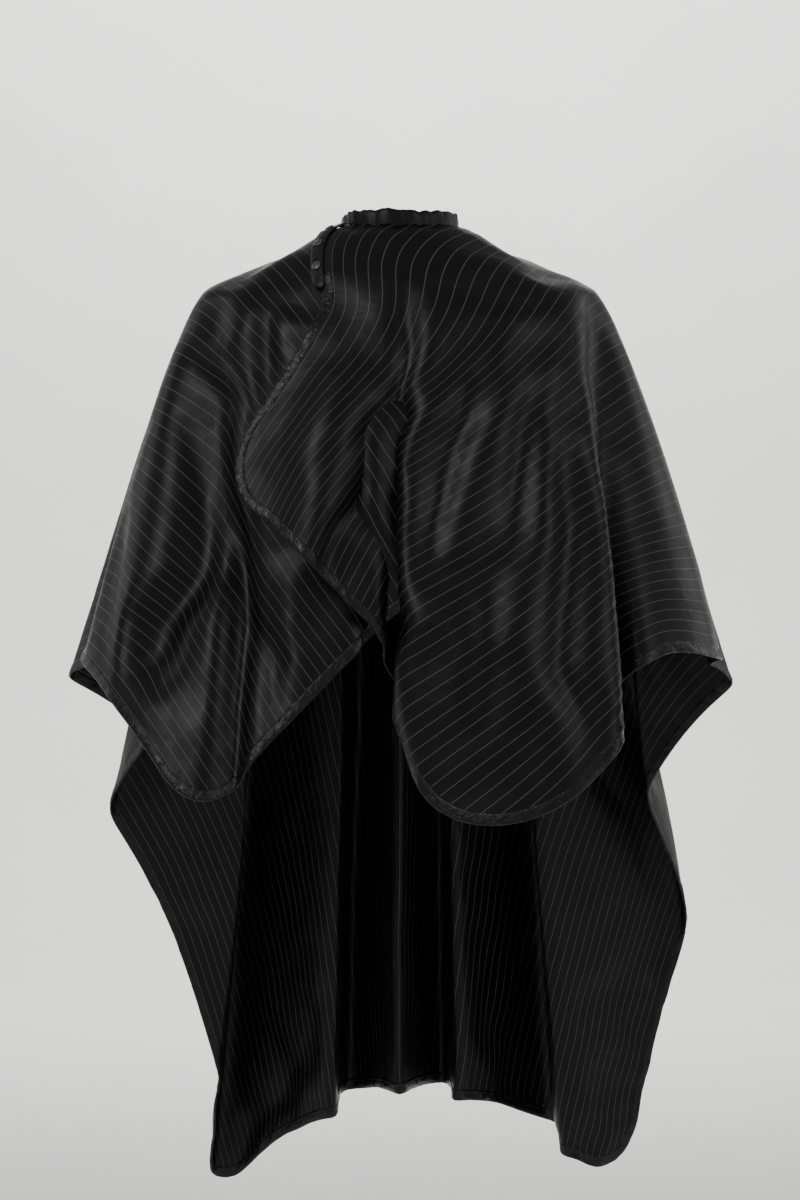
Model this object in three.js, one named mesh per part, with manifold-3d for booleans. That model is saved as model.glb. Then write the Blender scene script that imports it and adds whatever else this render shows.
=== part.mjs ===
// Barber cape, closed round a neck and hanging from it.
// Millimetres. +X is the wearer's right, +Y the wearer's front, +Z up.
// The origin is the centre of the neck opening, level with the neckband's seam at the back.
import * as THREE from 'three';
import { mergeVertices } from 'three/addons/utils/BufferGeometryUtils.js';
import Module from 'manifold-3d';

// Flat pattern: one rectangle of cloth with a round neck hole and a slit to the middle of its back edge.
const HALF_WIDTH = 660;
const BACK_LENGTH = 430;
const FRONT_LENGTH = 1045;
const NECK_CUT_RADIUS = 80;
const CORNER_RADIUS = 100;
const SLIT_CORNER_RADIUS = 80;

// Cloth and binding.
const CLOTH_THICKNESS = 1.2;
const BINDING_WIDTH = 13;
const BINDING_THICKNESS = 2.6;
const SEAM_GAP = 0.4;
const LAYER_GAP = 6;

// How the cape is closed: each slit edge is carried round past the middle of the back, in degrees.
const OUTER_TURN = 57;
const INNER_TURN = 38;
const OUTER_TURN_END = 115;
const INNER_TURN_END = 90;
const LAYER_FADE = [72, 110];

// The front hangs spread to the sides: by this many degrees at most, growing between these distances.
const FRONT_SPREAD = 20;
const FRONT_SPREAD_FROM = 120;
const FRONT_SPREAD_FULL = 520;

// Neck opening.
const NECK_RADIUS = 60;
const NECK_RISE_SIDE = 6;
const NECK_DROP_FRONT = 32;

// Shoulder line, where the cloth turns from lying on the body to hanging free.
const SHOULDER_SIDE = { reach: 203, drop: 78 };
const SHOULDER_BACK = { reach: 132, drop: 140 };
const SHOULDER_FRONT = { reach: 150, drop: 150 };
const SHOULDER_ROUNDNESS = 2.3;
const SHOULDER_BULGE = { side: 4, middle: 14 };

// Slope of the hanging cloth off the vertical, in degrees: just under the shoulder, and further down.
const SLOPE_SIDE = [34, 15];
const SLOPE_BACK = [12, 3];
const SLOPE_FRONT = [12, 4];
const SLOPE_SETTLE = 120;

// Folds of the hanging cloth.
const FOLD_COUNT = 11;
const FOLD_DEPTH = 26;
const FOLD_START = 200;
const FOLD_FULL = 760;

// Where the cloth is divided into sheets, as angles round the flat pattern from its slit.
const BACK_SHEET_END = 80;
const SIDE_SHEET_END = 122;
const HEM_STEP = 56;
const SLIT_ROWS = [-7, 0, 24, 52, 86, 122, 160, 200];
const LOWER_ROWS = 5;

// Neckband: a folded strip that stands on the neck edge, with elastic in its fold.
const BAND_HEIGHT = 14;
const BAND_WALL = 0.7;
const BAND_SLOT = 2;
const BAND_FOOT = 2;
const ELASTIC_THICKNESS = 1.1;
const ELASTIC_HEIGHT = 4.4;
const BAND_CLEARANCE = 0.4;

// Closure strap with its row of snaps.
const STRAP_LENGTH = 104;
const STRAP_WIDTH = 18;
const STRAP_THICKNESS = 2.2;
const SOCKET_TO_EDGE = 1.4;
const STRAP_START = 5;
const STRAP_ROWS = 14;
const STRAP_COLUMNS = 4;
const SNAP_COUNT = 3;
const SNAP_FIRST = 22;
const SNAP_PITCH = 29;
const SNAP_CAP_RADIUS = 5.2;
const SNAP_CAP_HEIGHT = 1.5;
const SNAP_SOCKET_RADIUS = 4.6;
const SNAP_SOCKET_HEIGHT = 2.2;
const SNAP_STEM_RADIUS = 1.4;
const SNAP_HEAD_RADIUS = 1.9;
const SNAP_FLANGE_RADIUS = 4.4;
const SNAP_FLANGE_HEIGHT = 0.8;
const SNAP_CLEARANCE = 0.45;
const SNAP_SIDES = 14;
const CONTACT_GAP = 0.3;
const POST_GAP = 0.5;

// Turned-up corners: each moving corner is cut off along a line from a worn point, as [x, z],
// to the place on the side edge that lies this far behind the neck in the flat pattern.
const OUTER_FOLD = { from: [-150, -158], edge: 264.8 };
const INNER_FOLD = { from: [-20, -478], edge: 211.7 };
const FOLD_CUT = 0.6;

const CLOTH_COLOUR = 0x1b1a19;
const BINDING_COLOUR = 0x161515;
const ELASTIC_COLOUR = 0x2a2928;
const SNAP_COLOUR = 0x3c3b3a;

const wasm = await Module();
wasm.setup();

const radians = THREE.MathUtils.degToRad;
const mix = THREE.MathUtils.lerp;
const smooth = THREE.MathUtils.smoothstep;

// ---- the draped surface ----

// Distance from the axis to the shoulder line in direction angle, 0 being the back.
function shoulderReach(angle) {
  const back = Math.cos(angle) > 0 ? SHOULDER_BACK.reach : SHOULDER_FRONT.reach;
  const alongSide = Math.abs(Math.sin(angle)) / SHOULDER_SIDE.reach;
  const alongBack = Math.abs(Math.cos(angle)) / back;
  const sum = alongSide ** SHOULDER_ROUNDNESS + alongBack ** SHOULDER_ROUNDNESS;
  return sum ** (-1 / SHOULDER_ROUNDNESS);
}

// Distance out and height of the cloth at a distance down from the neck edge.
function profile(angle, down) {
  const facing = Math.cos(angle);
  const toMiddle = facing * facing;
  const toSide = 1 - toMiddle;
  const middle = facing > 0 ? SHOULDER_BACK : SHOULDER_FRONT;
  const slope = facing > 0 ? SLOPE_BACK : SLOPE_FRONT;
  const neckHeight = NECK_RISE_SIDE * toSide - NECK_DROP_FRONT * ((1 - facing) / 2) ** 2;
  if (down < 0) return [NECK_RADIUS, neckHeight - down];
  const reach = shoulderReach(angle);
  const drop = mix(SHOULDER_SIDE.drop, middle.drop, toMiddle);
  const across = reach - NECK_RADIUS;
  const fall = neckHeight + drop;
  const length = Math.hypot(across, fall);
  if (down < length) {
    const part = down / length;
    const bulge = mix(SHOULDER_BULGE.side, SHOULDER_BULGE.middle, toMiddle) * Math.sin(Math.PI * part);
    const out = NECK_RADIUS + across * part + (bulge * fall) / length;
    const height = neckHeight - fall * part + (bulge * across) / length;
    return [out, height];
  }
  const steep = radians(mix(SLOPE_SIDE[0], slope[0], toMiddle));
  const settled = radians(mix(SLOPE_SIDE[1], slope[1], toMiddle));
  const steps = 12;
  const stride = (down - length) / steps;
  let out = reach;
  let height = -drop;
  for (let i = 0; i < steps; i += 1) {
    const lean = settled + (steep - settled) * Math.exp((-stride * (i + 0.5)) / SLOPE_SETTLE);
    out += stride * Math.sin(lean);
    height -= stride * Math.cos(lean);
  }
  const deep = smooth(down, FOLD_START, FOLD_FULL) * FOLD_DEPTH * mix(0.35, 1, (1 - facing) / 2);
  return [out + deep * Math.cos(FOLD_COUNT * angle), height];
}

function bodyPoint(angle, down) {
  const [out, height] = profile(angle, down);
  return new THREE.Vector3(out * Math.sin(angle), -out * Math.cos(angle), height);
}

// The neck edge stands upright in the band, so up to the seam its normal is level.
function bodyNormal(angle, down) {
  if (down < 1) return new THREE.Vector3(Math.sin(angle), -Math.cos(angle), 0);
  const turn = 0.02;
  const stride = Math.min(5, down);
  const round = bodyPoint(angle + turn, down).sub(bodyPoint(angle - turn, down));
  const along = bodyPoint(angle, down + stride).sub(bodyPoint(angle, down - stride));
  return along.cross(round).normalize();
}

// The two charts of the flat pattern: outer is the wearer's right half, inner the left half.
const OUTER = { side: 1, turn: OUTER_TURN, turnEnd: OUTER_TURN_END, gap: LAYER_GAP };
const INNER = { side: -1, turn: INNER_TURN, turnEnd: INNER_TURN_END, gap: 0 };

// Place of a flat point on the worn cape, lifted along the surface normal. u is positive in both halves.
function drape(half, u, v, lift = 0) {
  const around = THREE.MathUtils.radToDeg(Math.atan2(u, -v));
  const down = Math.hypot(u, v) - NECK_CUT_RADIUS;
  const fade = Math.cos(radians(90 * Math.min(Math.abs(around) / half.turnEnd, 1))) ** 2;
  const toFront = Math.max(0, around - 90) / 90;
  const spreadHere = smooth(down, FRONT_SPREAD_FROM, FRONT_SPREAD_FULL) * Math.sin(Math.PI * toFront);
  const spread = FRONT_SPREAD * spreadHere;
  const angle = half.side * radians(around - half.turn * fade - spread);
  const layer = half.gap * (1 - smooth(around, LAYER_FADE[0], LAYER_FADE[1]));
  const normal = bodyNormal(angle, down);
  return bodyPoint(angle, down).addScaledVector(normal, layer + lift);
}

// ---- the flat outline of one half, from the slit's corner round to the middle of the front ----

function arcPiece(centreU, centreV, radius, start) {
  return {
    length: (radius * Math.PI) / 2,
    at(distance) {
      const angle = start + distance / radius;
      const normal = [-Math.cos(angle), -Math.sin(angle)];
      return { u: centreU - radius * normal[0], v: centreV - radius * normal[1], normal };
    },
  };
}

function linePiece(from, to, normal) {
  const length = Math.hypot(to[0] - from[0], to[1] - from[1]);
  return {
    length,
    at(distance) {
      const part = distance / length;
      return { u: mix(from[0], to[0], part), v: mix(from[1], to[1], part), normal };
    },
  };
}

const hemPieces = [
  arcPiece(SLIT_CORNER_RADIUS, SLIT_CORNER_RADIUS - BACK_LENGTH, SLIT_CORNER_RADIUS, Math.PI),
  linePiece([SLIT_CORNER_RADIUS, -BACK_LENGTH], [HALF_WIDTH - CORNER_RADIUS, -BACK_LENGTH], [0, 1]),
  arcPiece(HALF_WIDTH - CORNER_RADIUS, CORNER_RADIUS - BACK_LENGTH, CORNER_RADIUS, 1.5 * Math.PI),
  linePiece([HALF_WIDTH, CORNER_RADIUS - BACK_LENGTH], [HALF_WIDTH, FRONT_LENGTH - CORNER_RADIUS], [-1, 0]),
  arcPiece(HALF_WIDTH - CORNER_RADIUS, FRONT_LENGTH - CORNER_RADIUS, CORNER_RADIUS, 0),
  linePiece([HALF_WIDTH - CORNER_RADIUS, FRONT_LENGTH], [0, FRONT_LENGTH], [0, -1]),
];

function aroundOf(station) {
  return THREE.MathUtils.radToDeg(Math.atan2(station.u, -station.v));
}

// Stations along the hem, the corners divided finely enough to stay round.
function hemStations() {
  const stations = [];
  for (const piece of hemPieces) {
    const count = Math.max(3, Math.round(piece.length / HEM_STEP));
    for (let i = 0; i < count; i += 1) stations.push(piece.at((piece.length * i) / count));
  }
  stations.push({ u: 0, v: FRONT_LENGTH, normal: [0, -1] });
  return stations;
}

// The stations between two angles, with one added at each end that falls between stations.
function stationsBetween(from, to) {
  const all = hemStations();
  const kept = [];
  for (let i = 0; i < all.length; i += 1) {
    const here = aroundOf(all[i]);
    const before = i > 0 ? aroundOf(all[i - 1]) : here;
    for (const edge of [from, to]) {
      if (before < edge - 0.2 && here > edge + 0.2) {
        const part = (edge - before) / (here - before);
        kept.push({
          u: mix(all[i - 1].u, all[i].u, part),
          v: mix(all[i - 1].v, all[i].v, part),
          normal: all[i].normal,
        });
      }
    }
    if (here >= from - 0.2 && here <= to + 0.2) kept.push(all[i]);
  }
  return kept;
}

function inward(station, width) {
  return [station.u + station.normal[0] * width, station.v + station.normal[1] * width];
}

// ---- closed bodies from grids and sections ----

function orient(positions, indices) {
  let volume = 0;
  const corner = (k) => new THREE.Vector3().fromArray(positions, 3 * k);
  for (let i = 0; i < indices.length; i += 3) {
    const [a, b, c] = [corner(indices[i]), corner(indices[i + 1]), corner(indices[i + 2])];
    volume += a.dot(b.cross(c));
  }
  if (volume < 0) {
    for (let i = 0; i < indices.length; i += 3) {
      [indices[i + 1], indices[i + 2]] = [indices[i + 2], indices[i + 1]];
    }
  }
  const geometry = new THREE.BufferGeometry();
  geometry.setAttribute('position', new THREE.Float32BufferAttribute(positions, 3));
  geometry.setIndex(indices);
  return geometry;
}

// A tube through a list of sections with the same number of corners, closed by a cap at each end.
function loft(sections, capFaces) {
  const size = sections[0].length;
  const positions = sections.flat().flatMap((point) => point.toArray());
  const indices = [];
  for (let i = 0; i < sections.length - 1; i += 1) {
    for (let k = 0; k < size; k += 1) {
      const next = (k + 1) % size;
      const a = i * size + k;
      const b = i * size + next;
      indices.push(a, b, b + size, a, b + size, a + size);
    }
  }
  const last = (sections.length - 1) * size;
  for (const [a, b, c] of capFaces) {
    indices.push(a, c, b);
    indices.push(last + a, last + b, last + c);
  }
  return orient(positions, indices);
}

// The faces that fill a flat outline, wound the same way as the outline.
function fill(outline) {
  const contour = outline.map(([x, y]) => new THREE.Vector2(x, y));
  const faces = THREE.ShapeUtils.triangulateShape(contour, []);
  const forward = THREE.ShapeUtils.area(contour) > 0;
  return faces.map(([a, b, c]) => (forward ? [a, b, c] : [a, c, b]));
}

// The section of a sheet along one column of flat points: both its faces, lifted off the draped surface.
function sheetSection(half, points, thickness, lift = 0) {
  const top = points.map(([u, v]) => drape(half, u, v, lift + thickness / 2));
  const bottom = points.map(([u, v]) => drape(half, u, v, lift - thickness / 2));
  return [...top, ...bottom.reverse()];
}

// A sheet through sections of that kind, its two ends closed between the faces.
function skin(sections) {
  const rows = sections[0].length / 2;
  const capFaces = [];
  for (let i = 0; i < rows - 1; i += 1) {
    const across = 2 * rows - 1 - i;
    capFaces.push([i, i + 1, across - 1]);
    capFaces.push([i, across - 1, across]);
  }
  return loft(sections, capFaces);
}

function sheet(half, columns, thickness, lift = 0) {
  return skin(columns.map((column) => sheetSection(half, column, thickness, lift)));
}

// ---- cloth ----

// Flat points down one column, from the neck edge to the binding: close to the neck at set distances.
function columnPoints(neckPoint, hemPoint) {
  const length = Math.hypot(hemPoint[0] - neckPoint[0], hemPoint[1] - neckPoint[1]);
  const last = SLIT_ROWS[SLIT_ROWS.length - 1];
  const distances = [...SLIT_ROWS];
  for (let i = 1; i <= LOWER_ROWS; i += 1) distances.push(mix(last, length, i / LOWER_ROWS));
  return distances.map((distance) => [
    mix(neckPoint[0], hemPoint[0], distance / length),
    mix(neckPoint[1], hemPoint[1], distance / length),
  ]);
}

const slitNeckAngle = THREE.MathUtils.radToDeg(Math.asin(BINDING_WIDTH / NECK_CUT_RADIUS));

function column(hemPoint, aside = 0) {
  const around = THREE.MathUtils.radToDeg(Math.atan2(hemPoint[0], -hemPoint[1]));
  const spread = slitNeckAngle * Math.max(0, 1 - around / BACK_SHEET_END) ** 2;
  const angle = radians(around + spread);
  const neckPoint = [NECK_CUT_RADIUS * Math.sin(angle), -NECK_CUT_RADIUS * Math.cos(angle)];
  const across = [Math.cos(radians(around)), Math.sin(radians(around))];
  return columnPoints(neckPoint, hemPoint).map(([u, v]) => [u + across[0] * aside, v + across[1] * aside]);
}

// One sheet of cloth between two angles. A sheet that starts at 0 starts along the slit.
function clothColumns(from, to) {
  const columns = stationsBetween(from, to).map((station) => column(inward(station, BINDING_WIDTH)));
  const hemOf = (points) => points[points.length - 1];
  if (from > 0) columns[0] = column(hemOf(columns[0]), SEAM_GAP / 2);
  if (to < 180) columns[columns.length - 1] = column(hemOf(columns[columns.length - 1]), -SEAM_GAP / 2);
  if (from === 0) {
    const neckPoint = [BINDING_WIDTH, -Math.sqrt(NECK_CUT_RADIUS ** 2 - BINDING_WIDTH ** 2)];
    columns[0] = columnPoints(neckPoint, [BINDING_WIDTH, SLIT_CORNER_RADIUS - BACK_LENGTH]);
  }
  return columns;
}

const clothSheet = (half, from, to) => sheet(half, clothColumns(from, to), CLOTH_THICKNESS);

// Binding along the hem between two angles; one that starts at 0 also runs up the slit to the neck.
function bindingColumns(from, to) {
  const stations = stationsBetween(from, to);
  if (from === 0) {
    const slit = clothColumns(0, to)[0].slice(1, -1);
    stations.unshift(...slit.map(([, v]) => ({ u: 0, v, normal: [1, 0] })));
  }
  const widths = [0, BINDING_WIDTH / 2, BINDING_WIDTH - SEAM_GAP];
  const columns = stations.map((station) => widths.map((width) => inward(station, width)));
  const shift = (points, along) => points.map(([u, v]) => [u + along[0], v + along[1]]);
  const first = stations[0];
  const last = stations[stations.length - 1];
  const half = SEAM_GAP / 2;
  if (from > 0) columns[0] = shift(columns[0], [-first.normal[1] * -half, first.normal[0] * -half]);
  if (to < 180) {
    const end = columns.length - 1;
    columns[end] = shift(columns[end], [-last.normal[1] * half, last.normal[0] * half]);
  }
  return columns;
}

const bindingStrip = (half, from, to) => sheet(half, bindingColumns(from, to), BINDING_THICKNESS);

// A sheet that crosses the middle of the front, from the right half's columns and the left half's.
function frontSheet(columnsOf, from, thickness) {
  const right = columnsOf(from, 180);
  const left = right.slice(0, -1).reverse();
  const sections = [
    ...right.map((points) => sheetSection(OUTER, points, thickness)),
    ...left.map((points) => sheetSection(INNER, points, thickness)),
  ];
  return skin(sections);
}

// ---- cutting with manifold ----

function toSolid(geometry) {
  const plain = new THREE.BufferGeometry();
  plain.setAttribute('position', geometry.getAttribute('position'));
  plain.setIndex(geometry.getIndex());
  const merged = mergeVertices(plain, 1e-4);
  return new wasm.Manifold(new wasm.Mesh({
    numProp: 3,
    vertProperties: new Float32Array(merged.getAttribute('position').array),
    triVerts: new Uint32Array(merged.getIndex().array),
  }));
}

function toGeometry(solid) {
  const mesh = solid.getMesh();
  const geometry = new THREE.BufferGeometry();
  geometry.setAttribute('position', new THREE.Float32BufferAttribute(Array.from(mesh.vertProperties), 3));
  geometry.setIndex(Array.from(mesh.triVerts));
  return geometry;
}

// A block that covers everything on the outer side of a half's fold line, as seen from behind.
function foldBlock(half, fold, gap) {
  const from = new THREE.Vector2(...fold.from);
  const edge = drape(half, HALF_WIDTH, -fold.edge);
  const to = new THREE.Vector2(edge.x, edge.z);
  const along = to.clone().sub(from).normalize();
  const across = new THREE.Vector2(along.y, -along.x);
  if (across.y > 0) across.negate();
  const size = 1200;
  const block = new THREE.BoxGeometry(size, size, size);
  const middle = from.clone().lerp(to, 0.5).addScaledVector(across, size / 2 + gap);
  block.rotateY(-Math.atan2(along.y, along.x));
  block.translate(middle.x, -size / 2, middle.y);
  return toSolid(block);
}

// Splits a body along a fold line: the part that stays, and the corner that turns.
function splitAtFold(geometry, half, fold) {
  const solid = toSolid(geometry);
  return {
    stays: solid.subtract(foldBlock(half, fold, -FOLD_CUT / 2)),
    turns: solid.intersect(foldBlock(half, fold, FOLD_CUT / 2)),
  };
}

// The separate bodies of a solid, the highest first.
function bodiesOf(solid) {
  const top = (body) => body.boundingBox().max[2];
  return solid.decompose().sort((a, b) => top(b) - top(a));
}

// ---- neckband ----

// Stations along the neck edge, from the outer end of the band round the front to its inner end.
function neckStations() {
  const neckOf = (half) => (points) => {
    const [u, v] = points[1];
    return { half, u, v };
  };
  const back = clothColumns(0, BACK_SHEET_END);
  const side = clothColumns(BACK_SHEET_END, SIDE_SHEET_END).slice(1);
  const front = clothColumns(SIDE_SHEET_END, 180).slice(1);
  const columns = [...back, ...side, ...front];
  const right = columns.map(neckOf(OUTER));
  const left = columns.slice(0, -1).reverse().map(neckOf(INNER));
  const end = { u: 0, v: -NECK_CUT_RADIUS };
  return [{ half: OUTER, ...end }, ...right, ...left, { half: INNER, ...end }];
}

// A strip swept round the neck edge. Its section is given as [outward, up] from the seam line.
function neckSweep(section) {
  const sections = neckStations().map(({ half, u, v }) => {
    const seam = drape(half, u, v);
    const outward = new THREE.Vector3(seam.x, seam.y, 0).normalize();
    return section.map(([out, up]) => seam.clone().addScaledVector(outward, out).setZ(seam.z + up));
  });
  return loft(sections, fill(section));
}

const bandHalf = BAND_SLOT / 2 + BAND_WALL;

function neckbandShell() {
  const slot = BAND_SLOT / 2;
  return neckSweep([
    [bandHalf, BAND_FOOT],
    [bandHalf, BAND_HEIGHT],
    [-bandHalf, BAND_HEIGHT],
    [-bandHalf, BAND_FOOT],
    [-slot, BAND_FOOT],
    [-slot, BAND_HEIGHT - BAND_WALL],
    [slot, BAND_HEIGHT - BAND_WALL],
    [slot, BAND_FOOT],
  ]);
}

function neckbandElastic() {
  const half = ELASTIC_THICKNESS / 2;
  const top = BAND_HEIGHT - BAND_WALL - BAND_CLEARANCE;
  const bottom = top - ELASTIC_HEIGHT;
  return neckSweep([[half, bottom], [half, top], [-half, top], [-half, bottom]]);
}

// ---- closure strap and snaps ----

const strapLift = BINDING_THICKNESS / 2 + CONTACT_GAP + STRAP_THICKNESS / 2;
const strapMiddle = -(SNAP_SOCKET_RADIUS + SOCKET_TO_EDGE);

// Flat place of a point on the strap: across it, and down from the neck edge.
const strapFlat = (across, down) => [strapMiddle + across, -(NECK_CUT_RADIUS + down)];

function strapGrid() {
  const columns = [];
  const half = STRAP_WIDTH / 2;
  for (let i = 0; i <= STRAP_ROWS; i += 1) {
    const down = mix(STRAP_START, STRAP_LENGTH, i / STRAP_ROWS);
    const left = STRAP_LENGTH - down;
    const wide = left < half ? Math.sqrt(half ** 2 - (half - left) ** 2) : half;
    const width = Math.max(wide, half / 2);
    const row = [];
    for (let k = 0; k <= STRAP_COLUMNS; k += 1) {
      row.push(strapFlat(mix(-width, width, k / STRAP_COLUMNS), down));
    }
    columns.push(row);
  }
  return columns;
}

// Frame of a snap: its place on the strap's middle line and the way it is pressed.
function snapFrame(index) {
  const [u, v] = strapFlat(0, SNAP_FIRST + SNAP_PITCH * index);
  const place = drape(OUTER, u, v, strapLift);
  const up = drape(OUTER, u, v, strapLift + 1).sub(place).normalize();
  return { place, up };
}

// A turned piece from its profile, [radius, height], set on a snap's axis.
function turned(outline, frame, sides = SNAP_SIDES) {
  const points = outline.map(([radius, height]) => new THREE.Vector2(radius, height));
  const geometry = new THREE.LatheGeometry(points, sides);
  geometry.applyQuaternion(new THREE.Quaternion().setFromUnitVectors(new THREE.Vector3(0, 1, 0), frame.up));
  geometry.translate(frame.place.x, frame.place.y, frame.place.z);
  geometry.deleteAttribute('normal');
  geometry.deleteAttribute('uv');
  const merged = mergeVertices(geometry, 1e-4);
  return orient(Array.from(merged.getAttribute('position').array), Array.from(merged.getIndex().array));
}

function holeAt(frame, radius, low, high) {
  return toSolid(turned([[0, low], [radius, low], [radius, high], [0, high]], frame));
}

const strapTop = STRAP_THICKNESS / 2;
const socketTop = -strapTop - CONTACT_GAP;
const socketBottom = socketTop - SNAP_SOCKET_HEIGHT;
const stemHole = SNAP_STEM_RADIUS + CONTACT_GAP;

// Height on a snap's axis at which it meets the face of a sheet below it.
function meets(frame, geometry) {
  const target = new THREE.Mesh(geometry, new THREE.MeshBasicMaterial({ side: THREE.DoubleSide }));
  const ray = new THREE.Raycaster(frame.place, frame.up.clone().negate());
  return -ray.intersectObject(target)[0].distance;
}

// Cap: a shallow dome on the strap, its stem passing through the strap into the socket.
function snapCap(frame) {
  const base = strapTop + CONTACT_GAP;
  const stemEnd = socketTop - 0.5;
  return turned([
    [0, stemEnd],
    [SNAP_STEM_RADIUS, stemEnd],
    [SNAP_STEM_RADIUS, base],
    [SNAP_CAP_RADIUS - 0.4, base],
    [SNAP_CAP_RADIUS, base + 0.4],
    [SNAP_CAP_RADIUS * 0.8, base + SNAP_CAP_HEIGHT * 0.75],
    [SNAP_CAP_RADIUS * 0.4, base + SNAP_CAP_HEIGHT],
    [0, base + SNAP_CAP_HEIGHT],
  ], frame);
}

// Socket: a ring under the strap, open below for the stud and above for the cap's stem.
function snapSocket(frame) {
  const mouth = SNAP_HEAD_RADIUS + SNAP_CLEARANCE;
  return turned([
    [stemHole, socketTop],
    [SNAP_SOCKET_RADIUS, socketTop],
    [SNAP_SOCKET_RADIUS, socketBottom + 0.3],
    [SNAP_SOCKET_RADIUS - 0.3, socketBottom],
    [mouth, socketBottom],
    [mouth, socketTop - 0.7],
    [stemHole, socketTop - 0.7],
    [stemHole, socketTop],
  ], frame);
}

// Stud: a flange on the inner half with a head that stands in the socket.
function snapStud(frame, innerTop) {
  const base = innerTop + POST_GAP;
  const head = socketTop - 0.7 - SNAP_CLEARANCE;
  return turned([
    [SNAP_STEM_RADIUS + 0.2, base],
    [SNAP_FLANGE_RADIUS, base],
    [SNAP_FLANGE_RADIUS, base + SNAP_FLANGE_HEIGHT],
    [SNAP_HEAD_RADIUS - 0.3, base + SNAP_FLANGE_HEIGHT],
    [SNAP_HEAD_RADIUS, head - 0.5],
    [SNAP_HEAD_RADIUS - 0.4, head],
    [0, head],
    [0, head - 1],
    [SNAP_STEM_RADIUS + 0.2, head - 1],
    [SNAP_STEM_RADIUS + 0.2, base],
  ], frame);
}

// Post: a plate behind the inner half, its stem passing through the cloth into the stud.
function snapPost(frame, innerTop) {
  const base = innerTop - CLOTH_THICKNESS - POST_GAP;
  const stem = SNAP_STEM_RADIUS - 0.1;
  const end = innerTop + POST_GAP + SNAP_FLANGE_HEIGHT;
  return turned([
    [0, base - SNAP_FLANGE_HEIGHT],
    [SNAP_FLANGE_RADIUS, base - SNAP_FLANGE_HEIGHT],
    [SNAP_FLANGE_RADIUS, base],
    [stem, base],
    [stem, end],
    [0, end],
  ], frame);
}

// ---- the assembly ----

const group = new THREE.Group();

function finish(name, geometry, colour, roughness, metalness = 0) {
  const material = new THREE.MeshStandardMaterial({ color: colour, roughness, metalness });
  const mesh = new THREE.Mesh(geometry, material);
  mesh.name = name;
  group.add(mesh);
}

const addCloth = (name, geometry) => finish(name, geometry, CLOTH_COLOUR, 0.4);
const addBinding = (name, geometry) => finish(name, geometry, BINDING_COLOUR, 0.45);
const addSnap = (name, geometry) => finish(name, geometry, SNAP_COLOUR, 0.3, 1);

const snaps = Array.from({ length: SNAP_COUNT }, (_, index) => snapFrame(index));

// Outer half: the back sheet, its free corner, and the binding down the slit and along the hem.
const outerBack = splitAtFold(clothSheet(OUTER, 0, BACK_SHEET_END), OUTER, OUTER_FOLD);
const outerEdge = splitAtFold(bindingStrip(OUTER, 0, BACK_SHEET_END), OUTER, OUTER_FOLD);
const [outerSlit, outerHem] = bodiesOf(outerEdge.stays);
addCloth('outer_back_cloth', toGeometry(outerBack.stays));
addCloth('outer_flap_cloth', toGeometry(outerBack.turns));
addBinding('outer_slit_binding', toGeometry(outerSlit));
addBinding('outer_flap_binding', toGeometry(outerEdge.turns));
addBinding('outer_hem_binding', toGeometry(outerHem));

// Inner half, with a hole for each snap's post.
const innerGeometry = clothSheet(INNER, 0, BACK_SHEET_END);
const innerTops = snaps.map((frame) => meets(frame, innerGeometry));
let innerSheet = toSolid(innerGeometry);
snaps.forEach((frame, index) => {
  const through = innerTops[index] - CLOTH_THICKNESS;
  innerSheet = innerSheet.subtract(holeAt(frame, stemHole, through - 2, innerTops[index] + 2));
});
const innerBack = splitAtFold(toGeometry(innerSheet), INNER, INNER_FOLD);
const innerEdge = splitAtFold(bindingStrip(INNER, 0, BACK_SHEET_END), INNER, INNER_FOLD);
const [innerSlit, innerHem] = bodiesOf(innerEdge.stays);
addCloth('inner_back_cloth', toGeometry(innerBack.stays));
addCloth('inner_flap_cloth', toGeometry(innerBack.turns));
addBinding('inner_slit_binding', toGeometry(innerSlit));
addBinding('inner_flap_binding', toGeometry(innerEdge.turns));
addBinding('inner_hem_binding', toGeometry(innerHem));

// Sides and front.
addCloth('right_side_cloth', clothSheet(OUTER, BACK_SHEET_END, SIDE_SHEET_END));
addBinding('right_hem_binding', bindingStrip(OUTER, BACK_SHEET_END, SIDE_SHEET_END));
addCloth('left_side_cloth', clothSheet(INNER, BACK_SHEET_END, SIDE_SHEET_END));
addBinding('left_hem_binding', bindingStrip(INNER, BACK_SHEET_END, SIDE_SHEET_END));
addCloth('front_cloth', frontSheet(clothColumns, SIDE_SHEET_END, CLOTH_THICKNESS));
addBinding('front_hem_binding', frontSheet(bindingColumns, SIDE_SHEET_END, BINDING_THICKNESS));

// Neckband.
addBinding('neckband_shell', neckbandShell());
finish('neckband_elastic', neckbandElastic(), ELASTIC_COLOUR, 0.8);

// Closure strap, with a hole for each cap's stem.
let strap = toSolid(sheet(OUTER, strapGrid(), STRAP_THICKNESS, strapLift));
for (const frame of snaps) strap = strap.subtract(holeAt(frame, stemHole, -3, 3));
addBinding('closure_strap_tape', toGeometry(strap));
snaps.forEach((frame, index) => {
  const number = index + 1;
  addSnap(`snap_cap_${number}`, snapCap(frame));
  addSnap(`snap_socket_${number}`, snapSocket(frame));
  addSnap(`snap_stud_${number}`, snapStud(frame, innerTops[index]));
  addSnap(`snap_post_${number}`, snapPost(frame, innerTops[index]));
});

export default group;
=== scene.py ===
"""A barber cape, closed round a neck and hanging from it, draped from its flat pattern."""
import math

import bmesh
import bpy
import numpy as np
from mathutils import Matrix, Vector
from mathutils.bvhtree import BVHTree
from mathutils.geometry import delaunay_2d_cdt


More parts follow.
